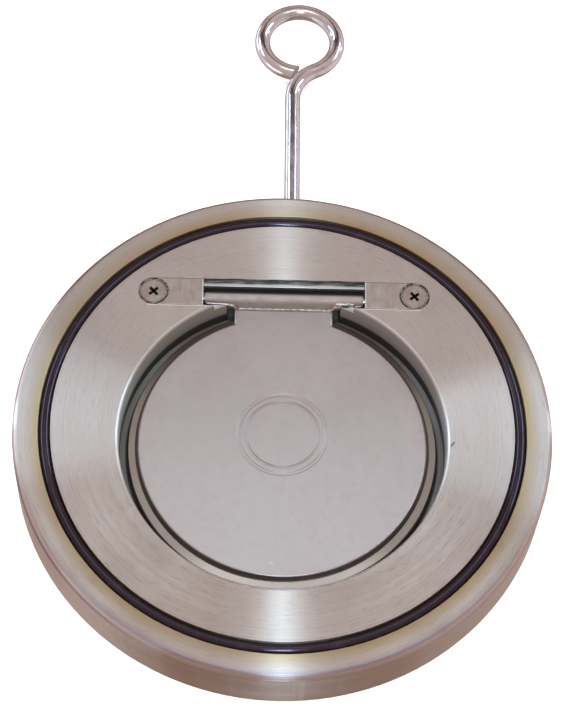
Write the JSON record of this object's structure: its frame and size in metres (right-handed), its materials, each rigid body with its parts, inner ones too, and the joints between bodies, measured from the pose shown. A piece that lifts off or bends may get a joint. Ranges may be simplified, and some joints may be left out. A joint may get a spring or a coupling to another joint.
{
  "type": "wafer check valve",
  "caption": "Wafer-type swing check valve: a thin ring body with O-rings in both faces, one hinged disc on a pinned arm, and a lifting eye in the rim.",
  "frame": {"origin": "centre of the upstream sealing face, which is the face the valve lies on", "axes": "+Z is the direction of flow, out of the downstream face; +Y points from the centre to the lifting eye; X runs along the hinge pin"},
  "size_m": [0.164, 0.2461, 0.0195],
  "materials": {
    "body_steel": "lathe-turned stainless steel, fine concentric marks",
    "disc_steel": "blasted stainless steel, matt",
    "weld_metal": "brushed weld metal",
    "pin_steel": "ground stainless steel",
    "retainer_steel": "machined stainless steel",
    "screw_steel": "satin stainless steel",
    "face_rubber": "black rubber, satin",
    "plated_rod": "bright zinc-plated rod"
  },
  "bodies": {
    "body": {"valve_body": "body_steel", "hinge_pin": "pin_steel", "left_pin_retainer": "retainer_steel", "right_pin_retainer": "retainer_steel", "left_retainer_screw": "screw_steel", "right_retainer_screw": "screw_steel", "downstream_face_o_ring": "face_rubber", "upstream_face_o_ring": "face_rubber", "lifting_eye_bolt": "plated_rod"},
    "clapper": {"clapper_disc": "disc_steel", "hinge_arm": "disc_steel", "hinge_weld": "weld_metal", "disc_seal_o_ring": "face_rubber"}
  },
  "joints": [
    {"name": "disc_hinge", "type": "hinge", "parent": "body", "child": "clapper", "pos_m": [0, 0.0465, 0.0144], "axis": [-1, 0, 0], "range_deg": [0, 75]}
  ]
}
